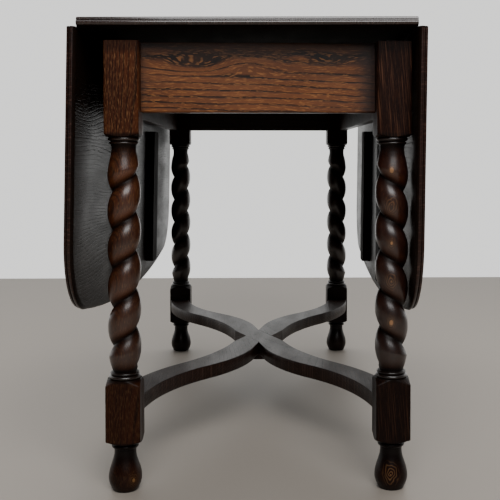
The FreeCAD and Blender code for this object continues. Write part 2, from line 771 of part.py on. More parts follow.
def hinge(name, side, end):
    """A butt hinge: one plate under the top, one on the leaf, and the pin."""
    as_top_stands = FreeCAD.Rotation(Vector(0, 0, 1), -number("top_turn"))
    pin = as_top_stands.multVec(Vector(side * number("pin_x"), end * number("hinge_offset"), number("pin_z")))
    facing_side = FreeCAD.Rotation(Vector(0, 0, 1), 0 if side > 0 else 180)
    hanging = FreeCAD.Rotation(Vector(0, 0, 1), 180) * FreeCAD.Rotation(Vector(0, 1, 0), -90)
    hinge_plate(name + "_top_plate", 0, pin, as_top_stands * facing_side)
    hinge_plate(name + "_leaf_plate", 1, pin, as_top_stands * lean_of(side) * facing_side * hanging)
    body = new_body(name + "_pin")
    sketch = new_sketch(body, "profile", "XZ_Plane", "-hinge_length / 2")
    add_ring(sketch, "0", "0", "pin_radius")
    extrude(body, "Pad", "pin", sketch, "hinge_length")
    body.Placement = FreeCAD.Placement(pin, as_top_stands)


# The whole table

fill_sheet()
for end_name, end in ENDS:
    for side_name, side in SIDES:
        leg("%s_%s_leg" % (end_name, side_name), side, end)
    rail(end_name + "_end_rail", "leg_span_x - leg_size", Vector(0, end, 0), "end_rail_setback")
for side_name, side in SIDES:
    rail(side_name + "_side_rail", "leg_span_y - leg_size", Vector(side, 0, 0), "side_rail_setback", True)
pivot_rail()
stretcher("lower_stretcher", -1, False)
stretcher("upper_stretcher", 1, True)
stretcher_block()
top_board()
bearer("front_top_bearer", -1)
bearer("back_top_bearer", 1)
pivot_cleat()
pivot_bolt()
pivot_washer()
pivot_nut()
for side_name, side in SIDES:
    leaf(side_name, side)
    for end_name, end in ENDS:
        batten("%s_leaf_%s_batten" % (side_name, end_name), side, end)
        hinge("%s_%s_hinge" % (side_name, end_name), side, end)
doc.recompute()

# Nothing is written unless every feature is sound and every cut has removed material
for item in doc.Objects:
    if "Invalid" in item.State or "Error" in item.State:
        raise RuntimeError("%s failed: %s" % (item.Name, item.State))
    if item.TypeId in ("PartDesign::Pocket", "PartDesign::Groove", "PartDesign::SubtractiveHelix"):
        if item.Shape.Volume >= item.BaseFeature.Shape.Volume:
            raise RuntimeError("%s cuts nothing" % item.Name)
os.makedirs("parts", exist_ok=True)
bodies = [item for item in doc.Objects if item.TypeId == "PartDesign::Body"]
for body in bodies:
    if body.Shape.isNull() or not body.Shape.isValid() or len(body.Shape.Solids) != 1:
        raise RuntimeError("%s is not one sound solid" % body.Label)
for body in bodies:
    body.Shape.exportStep("parts/%s.step" % body.Label)
    box = body.Shape.BoundBox
    print("%-34s %10.0f mm3  X %7.1f %7.1f  Y %7.1f %7.1f  Z %6.1f %6.1f" % (
        body.Label, body.Shape.Volume, box.XMin, box.XMax, box.YMin, box.YMax, box.ZMin, box.ZMax))
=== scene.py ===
import math

import bmesh
import bpy
from mathutils import Matrix, Vector


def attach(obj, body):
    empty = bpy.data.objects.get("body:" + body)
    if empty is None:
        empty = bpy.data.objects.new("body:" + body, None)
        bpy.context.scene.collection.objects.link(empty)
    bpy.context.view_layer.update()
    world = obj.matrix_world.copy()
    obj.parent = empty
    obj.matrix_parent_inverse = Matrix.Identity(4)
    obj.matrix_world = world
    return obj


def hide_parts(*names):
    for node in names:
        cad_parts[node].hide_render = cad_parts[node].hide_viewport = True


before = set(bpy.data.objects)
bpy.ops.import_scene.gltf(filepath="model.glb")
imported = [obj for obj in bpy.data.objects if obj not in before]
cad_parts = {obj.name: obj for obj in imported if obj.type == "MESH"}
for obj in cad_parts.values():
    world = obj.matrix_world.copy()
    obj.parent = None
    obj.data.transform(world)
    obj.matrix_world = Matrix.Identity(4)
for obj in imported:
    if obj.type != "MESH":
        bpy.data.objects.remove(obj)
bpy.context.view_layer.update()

# Legs: each is one square of oak, turned at the foot and collars and carved to a single rope twist
# between two blocks. The wood is stained dark and waxed. The colour is lightest on the crests and
# darker towards the hollows, and the grain shows as ovals where the carving cuts through the rings.
# The undersides of the turns carry a painted warm glow of bounced light, the tops of the upper blocks
# a painted shadow of the table top, and the legs darken lower down, partly as stain and partly as
# painted shade.

MM = 0.001
LEG_HALF, LEG_HEIGHT = 27.5, 720
LEG_X, LEG_Y = 215.5, 501
UPPER_BLOCK = 569
LOWER_BLOCK = (78.5, 181)
UPPER_SHOULDER, LOWER_SHOULDER, FOOT_SHOULDER = 4.5, 9, 5.5
SHOULDER_BOW = 1.25
BLOCK_CORNER = 1.0
CORNER_TURNS = (-1.5, -0.8, 0, 0.8, 1.5)
FACE_TURNS = [3 + 84 * i / 20 for i in range(21)]

# The turned foot, as levels and radii: sole, pad, fullest place of the bulb, neck, throat, ring and cove
FOOT_SOLE, FOOT_PAD, FOOT_BULB, FOOT_NECK = [(0, 17), (0, 19.6)], (0.9, 20.5), (20, 26.7), (62, 17.5)
FOOT_THROAT = [(66, 17.5), (68.3, 17.9)]
FOOT_RING, FOOT_RING_BULGE = (72, 18.6), (3.2, 3.1)
FOOT_COVE = [(75.6, 18.6), (76.2, 20.6), (77.4, 21.7), (78.5, 22)]

# The two collars: their beads, as low level, high level, radius and bulge, and the plain turning beside
LEDGE_RADIUS = 22.2
LOWER_BEADS = ((181, 187, 22.4, 3), (188, 192, 20.8, 2.6))
UPPER_BEADS = ((557.2, 561.4, 21, 2.4), (562.6, UPPER_BLOCK, 22.4, 3))
LOWER_FLARE = [(192.4, 19.6)]
UPPER_FLARE = [(551, 19.6), (555, 20.1), (557, 20.9)]

# The twist's levels, its radius on the ridge and in the groove, and a level where its groove starts.
# It swells out of a neck at each end, where the groove fades in
TWIST = (193, 546)
TWIST_ROWS = 250
RIDGE, ROOT, PITCH, FIRST_ROOT = 26.5, 17.2, 62, 510.5
ROPE_FULLNESS = 2.3
NECKS, SWELLS, GROOVE_FADE = (18.9, 19.6), (36, 46), 16


def ease(share):
    """Runs smoothly from 0 to 1."""
    share = min(max(share, 0.0), 1.0)
    return share * share * (3 - 2 * share)


def leg_directions():
    """Angles round the leg, close together at the four corners of its blocks."""
    angles = []
    for quarter in range(4):
        corner = math.pi / 2 * quarter + math.pi / 4
        angles += [corner + math.radians(turn) for turn in CORNER_TURNS]
        angles += [corner + math.radians(turn) for turn in FACE_TURNS]
    return angles


def block_radius(angle, level, ends):
    """Distance to a block's face. Its corners slope away at the ends, given as (level, way, rise)."""
    across = max(abs(math.cos(angle)), abs(math.sin(angle)))
    reach = min(LEG_HALF / across, LEG_HALF * math.sqrt(2) - BLOCK_CORNER)
    for end, way, rise in ends:
        share = max(way * (level - end) / rise, 0)
        reach = min(reach, LEG_HALF * (1 + (math.sqrt(2) - 1) * share ** SHOULDER_BOW))
    return reach


def twist_radius(angle, level, hand):
    """Distance to the surface of the twist. Hand is +1 for a right-handed screw, -1 for a left-handed."""
    start = FIRST_ROOT if hand > 0 else FIRST_ROOT + PITCH / 2
    turns = (level - start) / PITCH - hand * angle / (2 * math.pi)
    from_root = 2 * abs(turns - round(turns))
    bulge = 1 - (1 - from_root) ** ROPE_FULLNESS
    radius = ROOT + (RIDGE - ROOT) * bulge
    upper = level > (TWIST[0] + TWIST[1]) / 2
    inside = TWIST[1] - level if upper else level - TWIST[0]
    neck = NECKS[upper]
    limit = neck + (RIDGE - neck) * math.sin(min(inside / SWELLS[upper], 1) * math.pi / 2)
    cut = ease(inside / GROOVE_FADE)
    return limit + (min(radius, limit) - limit) * cut


def foot_outline():
    """Levels and radii of the turned foot, from the floor up to the block."""
    outline = FOOT_SOLE + [FOOT_PAD]
    for i in range(1, 13):
        share = i / 12
        swell = math.sin(share * math.pi / 2)
        outline.append((FOOT_PAD[0] + (FOOT_BULB[0] - FOOT_PAD[0]) * share,
                        FOOT_PAD[1] + (FOOT_BULB[1] - FOOT_PAD[1]) * swell))
    for i in range(1, 21):
        share = i / 20
        fall = ease(share ** 1.1)
        outline.append((FOOT_BULB[0] + (FOOT_NECK[0] - FOOT_BULB[0]) * share,
                        FOOT_BULB[1] + (FOOT_NECK[1] - FOOT_BULB[1]) * fall))
    outline += FOOT_THROAT
    for angle in (-1.3, -0.8, -0.4, 0, 0.4, 0.8, 1.3):
        outline.append((FOOT_RING[0] + FOOT_RING_BULGE[0] * math.sin(angle),
                        FOOT_RING[1] + FOOT_RING_BULGE[1] * math.cos(angle)))
    return outline + FOOT_COVE


def bead_outline(low, high, radius, bulge):
    """Levels and radii of a half-round bead between two levels."""
    steps = [math.pi * i / 8 for i in range(9)]
    return [(low + (high - low) * (1 - math.cos(a)) / 2, radius + bulge * math.sin(a)) for a in steps]


def turned_rings(angles, rows):
    """Rings of points through rows of (level, radii)."""
    return [[(radius * math.cos(a), radius * math.sin(a), level) for a, radius in zip(angles, radii)]
            for level, radii in rows]


def leg_rings(hand):
    """Rings of points up the leg, with two rings at one level where there is a ledge."""
    angles = leg_directions()
    rows = []

    def turned(outline):
        rows.extend((level, [radius] * len(angles)) for level, radius in outline)

    def block(low, high, ends):
        levels = {low, high}
        for end, way, rise in ends:
            levels |= {end + way * rise * i / 8 for i in range(9)}
        rows.extend((level, [block_radius(a, level, ends) for a in angles]) for level in sorted(levels))

    turned(foot_outline())
    low, high = LOWER_BLOCK
    block(low, high, [(low, 1, FOOT_SHOULDER), (high, -1, LOWER_SHOULDER)])
    turned([(high, LEDGE_RADIUS)])
    for bead in LOWER_BEADS:
        turned(bead_outline(*bead))
    turned(LOWER_FLARE)
    for i in range(TWIST_ROWS + 1):
        level = TWIST[0] + (TWIST[1] - TWIST[0]) * i / TWIST_ROWS
        rows.append((level, [twist_radius(a, level, hand) for a in angles]))
    turned(UPPER_FLARE)
    for bead in UPPER_BEADS:
        turned(bead_outline(*bead))
    block(UPPER_BLOCK, LEG_HEIGHT, [(UPPER_BLOCK, 1, UPPER_SHOULDER)])
    return turned_rings(angles, rows)


def ring_mesh(name, rings):
    """A closed mesh through equal rings of points in millimetres, with flat ends."""
    count = len(rings[0])
    verts = [tuple(axis * MM for axis in point) for ring in rings for point in ring]
    faces = [tuple(reversed(range(count)))]
    for row in range(len(rings) - 1):
        for i in range(count):
            j = (i + 1) % count
            faces.append((row * count + i, row * count + j, (row + 1) * count + j, (row + 1) * count + i))
    faces.append(tuple(range((len(rings) - 1) * count, len(rings) * count)))
    mesh = bpy.data.meshes.new(name)
    mesh.from_pydata(verts, [], faces)
    mesh.validate()
    return mesh


def smooth(mesh, sharp_angle=35):
    """Smooth shading, with edges above an angle kept sharp."""
    mesh.shade_smooth()
    mesh.set_sharp_from_angle(angle=math.radians(sharp_angle))


def new_piece(name, mesh):
    """Puts a mesh into the scene as an object."""
    piece = bpy.data.objects.new(name, mesh)
    bpy.context.collection.objects.link(piece)
    return piece


class Nodes:
    """Adds nodes to a tree. Each input is given a socket to link or a plain value."""

    def __init__(self, tree):
        self.tree = tree

    def add(self, kind, inputs=(), **settings):
        node = self.tree.nodes.new("ShaderNode" + kind)
        for name, value in settings.items():
            setattr(node, name, value)
        for key, value in dict(inputs).items():
            if isinstance(value, bpy.types.NodeSocket):
                self.tree.links.new(value, node.inputs[key])
            else:
                node.inputs[key].default_value = value
        return node

    def group(self, tree, inputs):
        return self.add("Group", inputs, node_tree=tree).outputs

    def finish(self, result, values):
        """Links sockets to the named outputs of a group."""
        for key, value in values.items():
            self.tree.links.new(value, result.inputs[key])
        return self.tree

    def split(self, vector):
        return self.add("SeparateXYZ", {0: vector}).outputs

    def math(self, operation, first, second=0.0, third=0.0):
        return self.add("Math", {0: first, 1: second, 2: third}, operation=operation).outputs[0]

    def vector(self, operation, first, second):
        return self.add("VectorMath", {0: first, 1: second}, operation=operation).outputs[0]

    def gap(self, value, middle):
        """How far a value is from a middle."""
        return self.math("ABSOLUTE", self.math("SUBTRACT", value, middle))

    def length(self, vector):
        return self.add("VectorMath", {0: vector}, operation="LENGTH").outputs["Value"]

    def radius(self, first, second):
        """Distance from the origin in a plane."""
        square = self.math("ADD", self.math("MULTIPLY", first, first), self.math("MULTIPLY", second, second))
        return self.math("SQRT", square)

    def noise(self, vector, scales, detail=2.0, roughness=0.5):
        """Noise from 0 to 1. Scales is one number, or three to draw it out along an axis."""
        if isinstance(scales, float):
            scale = scales
        else:
            vector, scale = self.vector("MULTIPLY", vector, scales), 1.0
        inputs = {"Vector": vector, "Scale": scale, "Detail": detail, "Roughness": roughness}
        return self.add("TexNoise", inputs).outputs["Fac"]

    def span(self, value, low, high, to_low=0.0, to_high=1.0):
        """Maps low..high smoothly to to_low..to_high."""
        inputs = {"Value": value, "From Min": low, "From Max": high, "To Min": to_low, "To Max": to_high}
        return self.add("MapRange", inputs, interpolation_type="SMOOTHSTEP").outputs["Result"]

    def mix(self, share, first, second, blend="MIX"):
        inputs = {0: share, 6: first, 7: second}
        return self.add("Mix", inputs, data_type="RGBA", blend_type=blend).outputs[2]


def rgb(red, green, blue):
    """A colour from 0..255 display values."""
    def linear(value):
        value /= 255
        return value / 12.92 if value <= 0.04045 else ((value + 0.055) / 1.055) ** 2.4
    return (linear(red), linear(green), linear(blue), 1.0)


def new_group(name, inputs, outputs):
    """A node group with named sockets. Gives its nodes, its input sockets and its output node."""
    tree = bpy.data.node_groups.new(name, "ShaderNodeTree")
    for way, sockets in (("INPUT", inputs), ("OUTPUT", outputs)):
        for label, kind in sockets.items():
            tree.interface.new_socket(label, in_out=way, socket_type="NodeSocket" + kind)
    return Nodes(tree), tree.nodes.new("NodeGroupInput").outputs, tree.nodes.new("NodeGroupOutput")


def make_oak_grain():
    """Oak: growth rings round a wandering heart, open pores along the grain, flecks and uneven polish."""
    n, given, result = new_group(
        "oak grain",
        {"Board": "Vector", "Heart Side": "Float", "Heart Depth": "Float", "Heart Slope": "Float",
         "Ring Width": "Float", "Wander": "Float", "Seed": "Float", "Late Wood": "Color",
         "Early Wood": "Color", "Line Tint": "Color", "Line Strength": "Float", "Fleck Tint": "Color",
         "Fleck Strength": "Float", "Glossy": "Float", "Dull": "Float"},
        {"Color": "Color", "Roughness": "Float", "Height": "Float"})
    board, ring_width = given["Board"], given["Ring Width"]
    shift = n.add("CombineXYZ", {0: given["Seed"], 2: given["Seed"]}).outputs[0]
    place = n.vector("ADD", board, shift)
    parts = n.split(board)

    # Distance from the heart of the tree, stirred by slow waves and by a finer ripple
    wave = n.noise(place, (2.2, 9.0, 9.0), detail=1.5)
    ripple = n.noise(place, (14.0, 60.0, 60.0), detail=3.0, roughness=0.6)
    side = n.math("SUBTRACT", parts[1], given["Heart Side"])
    fall = n.math("MULTIPLY", parts[0], given["Heart Slope"])
    depth = n.math("SUBTRACT", n.math("SUBTRACT", parts[2], given["Heart Depth"]), fall)
    away = n.radius(side, depth)
    away = n.math("MULTIPLY_ADD", n.math("SUBTRACT", wave, 0.5), given["Wander"], away)
    away = n.math("MULTIPLY_ADD", n.math("SUBTRACT", ripple, 0.5), n.math("MULTIPLY", ring_width, 0.6), away)

    # One dark line in each ring, uneven along the board, with the pores gathered in it
    phase = n.math("FRACT", n.math("DIVIDE", away, ring_width))
    line = n.math("MULTIPLY", n.span(phase, 0.0, 0.1), n.span(phase, 0.12, 0.45, 1.0, 0.0))
    uneven = n.noise(place, (4.0, 50.0, 50.0))
    line = n.math("MULTIPLY", line, n.span(uneven, 0.35, 0.55, 0.6, 1.0))
    streaks = n.noise(place, (55.0, 900.0, 900.0), detail=1.0)
    pores = n.math("MULTIPLY", n.span(streaks, 0.52, 0.72), n.math("MULTIPLY_ADD", line, 0.7, 0.3))

    # Slow shading, then the lines, the pale flecks and the dark pores
    blot = n.noise(place, (6.0, 22.0, 22.0))
    wood = n.mix(n.span(blot, 0.3, 0.7, 0.0, 0.55), given["Late Wood"], given["Early Wood"])
    wood = n.mix(n.math("MULTIPLY", line, given["Line Strength"]), wood, given["Line Tint"])
    dashes = n.noise(place, (100.0, 950.0, 950.0), detail=1.0)
    fleck = n.math("MULTIPLY", n.span(dashes, 0.54, 0.68), given["Fleck Strength"])
    wood = n.mix(fleck, wood, given["Fleck Tint"])
    dark = n.mix(1.0, given["Early Wood"], (0.25, 0.22, 0.24, 1.0), "MULTIPLY")
    wood = n.mix(n.math("MULTIPLY", pores, 0.55), wood, dark)

    worn = n.noise(board, (9.0, 30.0, 30.0), detail=3.0)
    polish = n.span(worn, 0.3, 0.7, given["Glossy"], given["Dull"])
    rough = n.math("ADD", polish, n.math("MULTIPLY", pores, 0.15))
    height = n.math("MULTIPLY_ADD", pores, -1.0, n.math("MULTIPLY", line, -0.5))
    return n.finish(result, {"Color": wood, "Roughness": rough, "Height": height})


oak_grain = make_oak_grain()
GRAIN_ORDER = {"X": (0, 1, 2), "Y": (1, 0, 2), "Z": (2, 0, 1)}


def new_material(name):
    """A material without nodes, and the way to add them."""
    material = bpy.data.materials.new(name)
    material.use_nodes = True
    material.node_tree.nodes.clear()
    return material, Nodes(material.node_tree)


def oak_material(name, along, late, early, heart, ring_width, seed, centre=(0, 0, 0), slope=0.0,
                 wander=0.012, line=(0.004, 0.002, 0.0015, 1.0), line_strength=0.6,
                 fleck=(0.09, 0.035, 0.012, 1.0), fleck_strength=0.3, swirls=(), gloss=(0.34, 0.42),
                 shine=0.3, coat=0.25, polish=0.24, wax_index=1.5, relief=0.00012, dress=None):
    """Stained and waxed oak with its grain along an axis.

    Heart is where the tree's heart lies to the side and in depth, and slope how it strays along the
    board. Each swirl, a place, reach and push, bends the rings. Gloss is the roughness where the wood
    is most and least rubbed, and shine its own reflection. Coat, polish and wax_index are the wax's
    weight, roughness and index. Dress gives shader inputs that change with the place on the piece.
    """
    material, n = new_material(name)
    spot = n.vector("SUBTRACT", n.add("TexCoord").outputs["Object"], centre)
    parts = n.split(spot)
    board = n.add("CombineXYZ", {i: parts[axis] for i, axis in enumerate(GRAIN_ORDER[along])}).outputs[0]
    for place, reach, push in swirls:
        away = n.length(n.vector("DIVIDE", n.vector("SUBTRACT", board, place), reach))
        lift = n.add("CombineXYZ", {2: n.span(away, 0.0, 1.0, push, 0.0)}).outputs[0]
        board = n.vector("ADD", board, lift)
    grain = n.group(oak_grain, {
        "Board": board, "Heart Side": heart[0], "Heart Depth": heart[1], "Heart Slope": slope,
        "Ring Width": ring_width, "Wander": wander, "Seed": seed, "Late Wood": late, "Early Wood": early,
        "Line Tint": line, "Line Strength": line_strength, "Fleck Tint": fleck,
        "Fleck Strength": fleck_strength, "Glossy": gloss[0], "Dull": gloss[1]})
    bump = n.add("Bump", {"Strength": 0.6, "Distance": relief, "Height": grain["Height"]})
    inputs = {"Base Color": grain["Color"], "Roughness": grain["Roughness"], "Normal": bump.outputs[0],
              "Coat Weight": coat, "Coat Roughness": polish, "Coat IOR": wax_index,
              "Specular IOR Level": shine}
    if dress:
        inputs.update(dress(n, spot, grain["Color"]))
    shader = n.add("BsdfPrincipled", inputs)
    n.add("OutputMaterial", {"Surface": shader.outputs[0]})
    return material


# Dark bands round the leg, as middle level, reach and share, in metres: at the two collars, the foot's
# ring and the foot, and at the top of the upper block a painted shadow of the table top
DARK_AND_SHADOW_BANDS = ((0.188, 0.013, 0.8), (0.563, 0.015, 0.8), (0.072, 0.012, 0.8), (0.02, 0.08, 0.35),
             (0.722, 0.024, 0.5))
# A dark colour for stain, for the darker hollows and bands, and for painted shade and shadow; a painted warm
# glow of light bounced up from the floor; pale grain streaks
DARK_STAIN_AND_SHADE, PAINTED_BOUNCE_LIGHT, PALE_STREAK = rgb(10, 4, 3), rgb(136, 72, 28), rgb(116, 76, 54)


def make_leg_stain_and_shade():
    """Darker towards the hollows and round the collars, stain on the blocks, a painted shadow of the table
    top across the upper block's top, and all of it darker lower down, partly as stain and partly as
    painted shade.

    The underside of each turn gets a painted warm glow, standing for light bounced up from the floor.
    Crest is the wax's weight: it shines on the crests of the twist, and is matt in the hollows.
    """
    n, given, result = new_group(
        "leg stain and shade",
        {"Color": "Color", "Place": "Vector", "Facing": "Vector", "Painted Bounce Light": "Float",
         "Block Stain": "Float", "Streaks": "Float"},
        {"Color": "Color", "Crest": "Float"})
    x, y, z = n.split(given["Place"])
    radius = n.radius(x, y)

    # The twist: a painted warm glow of bounced light on the faces that look down, darker hollows, and dark
    # bands at both its ends
    on_twist = n.span(n.gap(z, 0.37), 0.17, 0.176, 1.0, 0.0)
    under = n.span(n.split(given["Facing"])[2], -0.42, -0.12, 1.0, 0.0)
    # A painted warm glow on the faces that look down, standing for light bounced up from the floor
    bounce_light = n.math("MULTIPLY", under, n.math("MULTIPLY", on_twist, given["Painted Bounce Light"]))
    colour = n.mix(bounce_light, given["Color"], PAINTED_BOUNCE_LIGHT)
    colour = n.mix(n.span(radius, ROOT * MM, (RIDGE - 0.8) * MM, 0.95, 0.0), colour, DARK_STAIN_AND_SHADE)
    # Dark bands, the highest of them a painted shadow of the table top
    for level, reach, share in DARK_AND_SHADOW_BANDS:
        colour = n.mix(n.span(n.gap(z, level), reach * 0.6, reach, share, 0.0), colour, DARK_STAIN_AND_SHADE)

    # The two blocks: stain, and pale streaks that lean a little
    blocks = n.math("MAXIMUM", n.span(z, 0.566, 0.57), n.span(n.gap(z, 0.13), 0.05, 0.054, 1.0, 0.0))
    colour = n.mix(n.math("MULTIPLY", blocks, given["Block Stain"]), colour, DARK_STAIN_AND_SHADE)
    drawn = n.add("CombineXYZ", {0: n.math("MULTIPLY_ADD", z, 0.09, x), 1: y, 2: z}).outputs[0]
    fine = n.span(n.noise(drawn, (900.0, 900.0, 14.0), detail=1.0), 0.56, 0.72)
    streaks = n.math("MULTIPLY", fine, n.math("MULTIPLY", blocks, given["Streaks"]))
    colour = n.mix(streaks, colour, PALE_STREAK)
    # Darker lower down, partly as stain and partly as painted shade
    colour = n.mix(n.span(z, 0.15, 0.6, 0.6, 0.0), colour, DARK_STAIN_AND_SHADE)
    crest = n.span(radius, (ROOT + 3.0) * MM, (RIDGE - 0.8) * MM)
    return n.finish(result, {"Color": colour, "Crest": crest})


def make_grain_eye():
    """An oval figure of rings round a pale middle, where the carving cuts through the growth rings."""
    n, given, result = new_group(
        "grain eye",
        {"Color": "Color", "Place": "Vector", "Centre": "Vector", "Reach": "Vector", "Middle": "Float",
         "Tint": "Color"},
        {"Color": "Color"})
    stray = n.math("MULTIPLY", n.noise(given["Place"], 75.0, detail=1.0), 3.0)
    away = n.length(n.vector("DIVIDE", n.vector("SUBTRACT", given["Place"], given["Centre"]), given["Reach"]))
    phase = n.math("FRACT", n.math("MULTIPLY_ADD", away, 3.4, stray))
    ring = n.math("MULTIPLY", n.span(phase, 0.45, 0.7), n.span(phase, 0.75, 1.0, 1.0, 0.0))
    ring = n.math("MULTIPLY", ring, n.span(away, 0.4, 1.2, 0.3, 0.0))
    middle = n.span(away, n.math("MULTIPLY", given["Middle"], 0.6), given["Middle"], 0.8, 0.0)
    colour = n.mix(n.math("MAXIMUM", ring, middle), given["Color"], given["Tint"])
    return n.finish(result, {"Color": colour})


leg_stain_and_shade = make_leg_stain_and_shade()
grain_eye = make_grain_eye()


def leg_dress(stain, eyes, eye_tint, rubbed):
    """A leg's stain, painted shade and painted bounce light, and its eyes, each a centre, size and
    middle. A rubbed part shines on its crests.
    """
    def dress(n, spot, colour):
        facing = n.add("NewGeometry").outputs["Normal"]
        stain_and_shade = n.group(leg_stain_and_shade, {"Color": colour, "Place": spot, "Facing": facing, **stain})
        colour = stain_and_shade["Color"]
        for centre, size, middle in eyes:
            colour = n.group(grain_eye, {
                "Color": colour, "Place": spot, "Centre": centre, "Reach": (size, size * 2, size * 1.5),
                "Middle": middle, "Tint": eye_tint})["Color"]
        inputs = {"Base Color": colour}
        if rubbed:
            inputs["Coat Weight"] = stain_and_shade["Crest"]
        return inputs
    return dress


LEFT_EYES = [((0.016, -0.02, 0.021), 0.009, 0.3)]
RIGHT_EYES = [((-0.004, -0.026, level), size, middle) for level, size, middle in
              ((0.516, 0.008, 0.5), (0.461, 0.012, 0.05), (0.4, 0.008, 0.3), (0.339, 0.011, 0.05),
               (0.273, 0.009, 0.4), (0.028, 0.014, 0.05))]
BACK_WOOD = {"late": rgb(50, 24, 16), "early": rgb(28, 13, 10), "line": rgb(16, 8, 6), "slope": 0.02,
             "ring_width": 0.004, "wander": 0.008}
LEG_WOOD = {
    "front_left": {"late": rgb(80, 40, 20), "early": rgb(34, 16, 9), "line": rgb(16, 7, 4),
                   "heart": (0.031, 0.022), "slope": 0.02, "ring_width": 0.0026, "line_strength": 0.75,
                   "seed": 0.3, "fleck": rgb(132, 92, 58), "fleck_strength": 0.55},
    "front_right": {"late": rgb(42, 16, 9), "early": rgb(23, 9, 7), "line": rgb(84, 44, 24),
                    "heart": (0.002, 0.034), "slope": 0.009, "ring_width": 0.0007, "line_strength": 0.4,
                    "seed": 1.7, "wander": 0.0012, "fleck": rgb(110, 72, 50), "fleck_strength": 0.3},
    "back_left": {"heart": (-0.03, 0.03), "seed": 2.9, **BACK_WOOD},
    "back_right": {"heart": (0.028, -0.03), "seed": 4.1, **BACK_WOOD},
}
BACK_DRESS = ({"Block Stain": 0.4, "Painted Bounce Light": 0.0, "Streaks": 0.0}, (), rgb(164, 118, 76))
LEG_DRESS = {
    "front_left": ({"Block Stain": 0.05, "Painted Bounce Light": 0.34, "Streaks": 0.0}, LEFT_EYES, rgb(128, 92, 54)),
    "front_right": ({"Block Stain": 0.62, "Painted Bounce Light": 0.16, "Streaks": 0.4}, RIGHT_EYES,
                    rgb(164, 118, 76)),
    "back_left": BACK_DRESS,
    "back_right": BACK_DRESS,
}
LEG_FINISH = {
    "twist": {"gloss": (0.38, 0.48), "shine": 0.14, "polish": 0.29, "wax_index": 1.64},
    "block": {"gloss": (0.36, 0.48), "shine": 0.1, "coat": 0.03},
    "foot": {"gloss": (0.3, 0.38), "shine": 0.12, "coat": 0.12},
}

for end, y in (("front", -LEG_Y), ("back", LEG_Y)):
    for side, x in (("left", -LEG_X), ("right", LEG_X)):
        place = end + "_" + side
        centre = (x * MM, y * MM, 0)
        mesh = ring_mesh(place + "_leg_turned", leg_rings(1 if side == "left" else -1))
        mesh.transform(Matrix.Translation(centre))
        smooth(mesh)
        for part, finish in LEG_FINISH.items():
            dress = leg_dress(*LEG_DRESS[place], rubbed=part == "twist")
            mesh.materials.append(oak_material("%s_%s_oak" % (place, part), "Z", centre=centre, dress=dress,
                                               **finish, **LEG_WOOD[place]))
        for face in mesh.polygons:
            level = face.center.z / MM
            block = level > UPPER_BLOCK or LOWER_BLOCK[0] < level < LOWER_BLOCK[1]
            face.material_index = 1 if block else 2 if level < LOWER_BLOCK[0] else 0
        leg = new_piece(place + "_leg_turned", mesh)
        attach(leg, "frame")
        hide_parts(place + "_leg")

# Rails: two short end rails and two long side rails, tenoned into the blocks. They are flat sawn oak,
# so the front rail shows long dark cathedral lines, and it has the lightest stain of the table.

EASED_EDGE, WELD_GAP = 0.0008, 0.00002


def finish_node(name, material, edge=EASED_EDGE):
    """Gives a CAD node its material and a small rounding of its edges."""
    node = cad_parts[name]
    node.data.materials.clear()
    node.data.materials.append(material)
    if edge:
        weld = node.modifiers.new("weld", "WELD")
        weld.merge_threshold = WELD_GAP
        bevel = node.modifiers.new("eased edges", "BEVEL")
        bevel.width = edge
        bevel.segments = 2
        bevel.limit_method = "ANGLE"
        bevel.angle_limit = math.radians(30)
        bevel.harden_normals = True


def make_rail_shade():
    """Painted shade at an end rail's ends beside the legs, a painted shadow of the top along its upper
    edge, and painted shade over all its inner face.
    """
    n, given, result = new_group("rail painted shade", {"Color": "Color", "Place": "Vector"}, {"Color": "Color"})
    x, y, z = n.split(given["Place"])
    ragged = n.noise(given["Place"], (20.0, 20.0, 220.0), detail=3.0)
    # Painted shade at both ends, beside the legs
    ends = n.span(n.math("MULTIPLY_ADD", ragged, 0.022, n.gap(x, -0.012)), 0.168, 0.204, 0.0, 0.85)
    colour = n.mix(ends, given["Color"], rgb(30, 18, 18))
    # Painted shadow of the top along the upper edge
    shaded = n.span(n.math("MULTIPLY_ADD", ragged, 0.012, z), 0.698, 0.722, 0.0, 0.8)
    colour = n.mix(shaded, colour, rgb(24, 14, 11))
    # Painted shade over the inner face
    inner_face = n.span(n.gap(y, 0.0), 0.486, 0.494, 0.93, 0.0)
    return n.finish(result, {"Color": n.mix(inner_face, colour, rgb(14, 6, 4))})


rail_shade = make_rail_shade()


def rail_dress(n, spot, colour):
    """The painted shade and shadow of an end rail, by place."""
    return {"Base Color": n.group(rail_shade, {"Color": colour, "Place": spot})["Color"]}


# Rings bend round a knot's flame near the left end, and less at the right end
RAIL_SWIRLS = [((-0.105, -0.5, 0.684), (0.09, 1.0, 0.02), 0.014),
               ((-0.02, -0.5, 0.684), (0.08, 1.0, 0.022), -0.012),
               ((0.115, -0.5, 0.69), (0.06, 1.0, 0.014), 0.008)]
for name, heart_side, swirls in (("front_end_rail", -0.47, RAIL_SWIRLS), ("back_end_rail", 0.47, ())):
    rail_oak = oak_material(name + "_oak", "X", rgb(116, 68, 37), rgb(72, 38, 20), line=rgb(17, 8, 5),
                            heart=(heart_side, 0.7), slope=-0.03, ring_width=0.0092, wander=0.018,
                            seed=0.8, line_strength=1.0, fleck=rgb(164, 108, 60), fleck_strength=0.6,
                            swirls=swirls, gloss=(0.36, 0.46), coat=0.15, dress=rail_dress)
    finish_node(name, rail_oak)
side_rail_oak = oak_material("side_rail_oak", "Y", rgb(56, 30, 18), rgb(34, 17, 11), heart=(-0.2, 0.62),
                             slope=0.02, ring_width=0.009, wander=0.03, seed=3.2, line_strength=0.7,
                             coat=0.1)
for name in ("left_side_rail", "right_side_rail"):
    finish_node(name, side_rail_oak)
